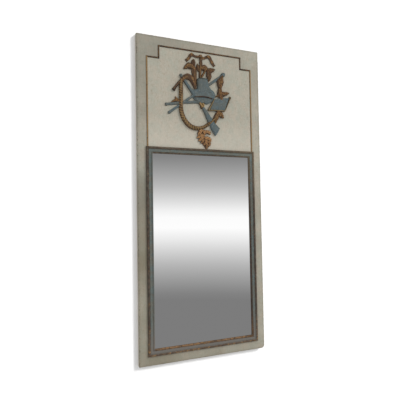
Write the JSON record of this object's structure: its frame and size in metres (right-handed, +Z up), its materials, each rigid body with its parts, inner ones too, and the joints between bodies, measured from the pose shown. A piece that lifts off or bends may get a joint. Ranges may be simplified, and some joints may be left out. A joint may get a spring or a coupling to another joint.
{
  "type": "trumeau mirror",
  "caption": "Tall painted wall mirror in a flush wood board: mirror in a mitred moulding below, stepped gilt fillet and carved hunting trophy above, two hanging rings behind.",
  "frame": {"origin": "middle of the middle rail's back face, on the wall plane and on the vertical centreline", "axes": "+X to the right of someone facing the mirror, +Y into the wall, -Y out of the mirror's face, +Z up"},
  "size_m": [0.6, 0.0362, 1.411],
  "materials": {
    "cream_paint": "aged grey-cream paint, matte, darker and chipped at the edges",
    "moulding_paint": "blue-grey paint rubbed through to brown wood and old gilding on the beads",
    "gilt_fillet": "worn dark gilding on a thin bead",
    "gilding": "worn gilding over reddish-brown ground, half gloss on the crests",
    "blue_paint": "matte blue-grey paint, worn at the edges",
    "mirror_glass": "silvered flat glass",
    "backing_wood": "plain thin board, unpainted",
    "bare_wood": "plain unpainted wood",
    "steel": "zinc-plated steel, dull"
  },
  "bodies": {
    "frame": {"left_stile": "cream_paint", "right_stile": "cream_paint", "bottom_rail": "cream_paint", "middle_rail": "cream_paint", "top_rail": "cream_paint", "upper_panel": "cream_paint", "bottom_left_peg": "bare_wood", "bottom_right_peg": "bare_wood", "middle_left_peg": "bare_wood", "middle_right_peg": "bare_wood", "top_left_peg": "bare_wood", "top_right_peg": "bare_wood", "mirror_glass": "mirror_glass", "backing_board": "backing_wood", "bottom_strip": "bare_wood", "top_strip": "bare_wood", "left_strip": "bare_wood", "right_strip": "bare_wood", "moulding_top": "moulding_paint", "moulding_right": "moulding_paint", "moulding_bottom": "moulding_paint", "moulding_left": "moulding_paint", "fillet_left_run": "gilt_fillet", "fillet_left_step": "gilt_fillet", "fillet_left_drop": "gilt_fillet", "fillet_top": "gilt_fillet", "fillet_right_drop": "gilt_fillet", "fillet_right_step": "gilt_fillet", "fillet_right_run": "gilt_fillet", "short_staff": "blue_paint", "long_staff": "blue_paint", "musket_barrel": "blue_paint", "musket_stock": "blue_paint", "hat": "blue_paint", "game_bag": "blue_paint", "musket_lock": "gilding", "ribbon_left": "gilding", "ribbon_right": "gilding", "bow_knot": "gilding", "leaf_spray_left": "gilding", "leaf_spray_centre": "gilding", "leaf_spray_right": "gilding", "horn_leaf": "gilding", "horn_coil_left": "gilding", "horn_coil_base": "gilding", "horn_crest": "gilding", "horn_mouthpipe": "gilding", "hat_band": "gilding", "bag_edging": "gilding", "leaf_spray_low": "gilding", "leaf_spray_tall": "gilding", "foliage_drop": "gilding", "left_hanger_plate": "steel", "left_hanger_screw_1": "steel", "left_hanger_screw_2": "steel", "right_hanger_plate": "steel", "right_hanger_screw_1": "steel", "right_hanger_screw_2": "steel"},
    "left_ring": {"left_hanger_ring": "steel"},
    "right_ring": {"right_hanger_ring": "steel"}
  },
  "joints": [
    {"name": "left_ring_swing", "type": "hinge", "parent": "frame", "child": "left_ring", "pos_m": [-0.18, -0.00405, 0.4305], "axis": [1, 0, 0], "range_deg": [-6, 175]},
    {"name": "right_ring_swing", "type": "hinge", "parent": "frame", "child": "right_ring", "pos_m": [0.18, -0.00405, 0.4305], "axis": [1, 0, 0], "range_deg": [-6, 175]}
  ]
}
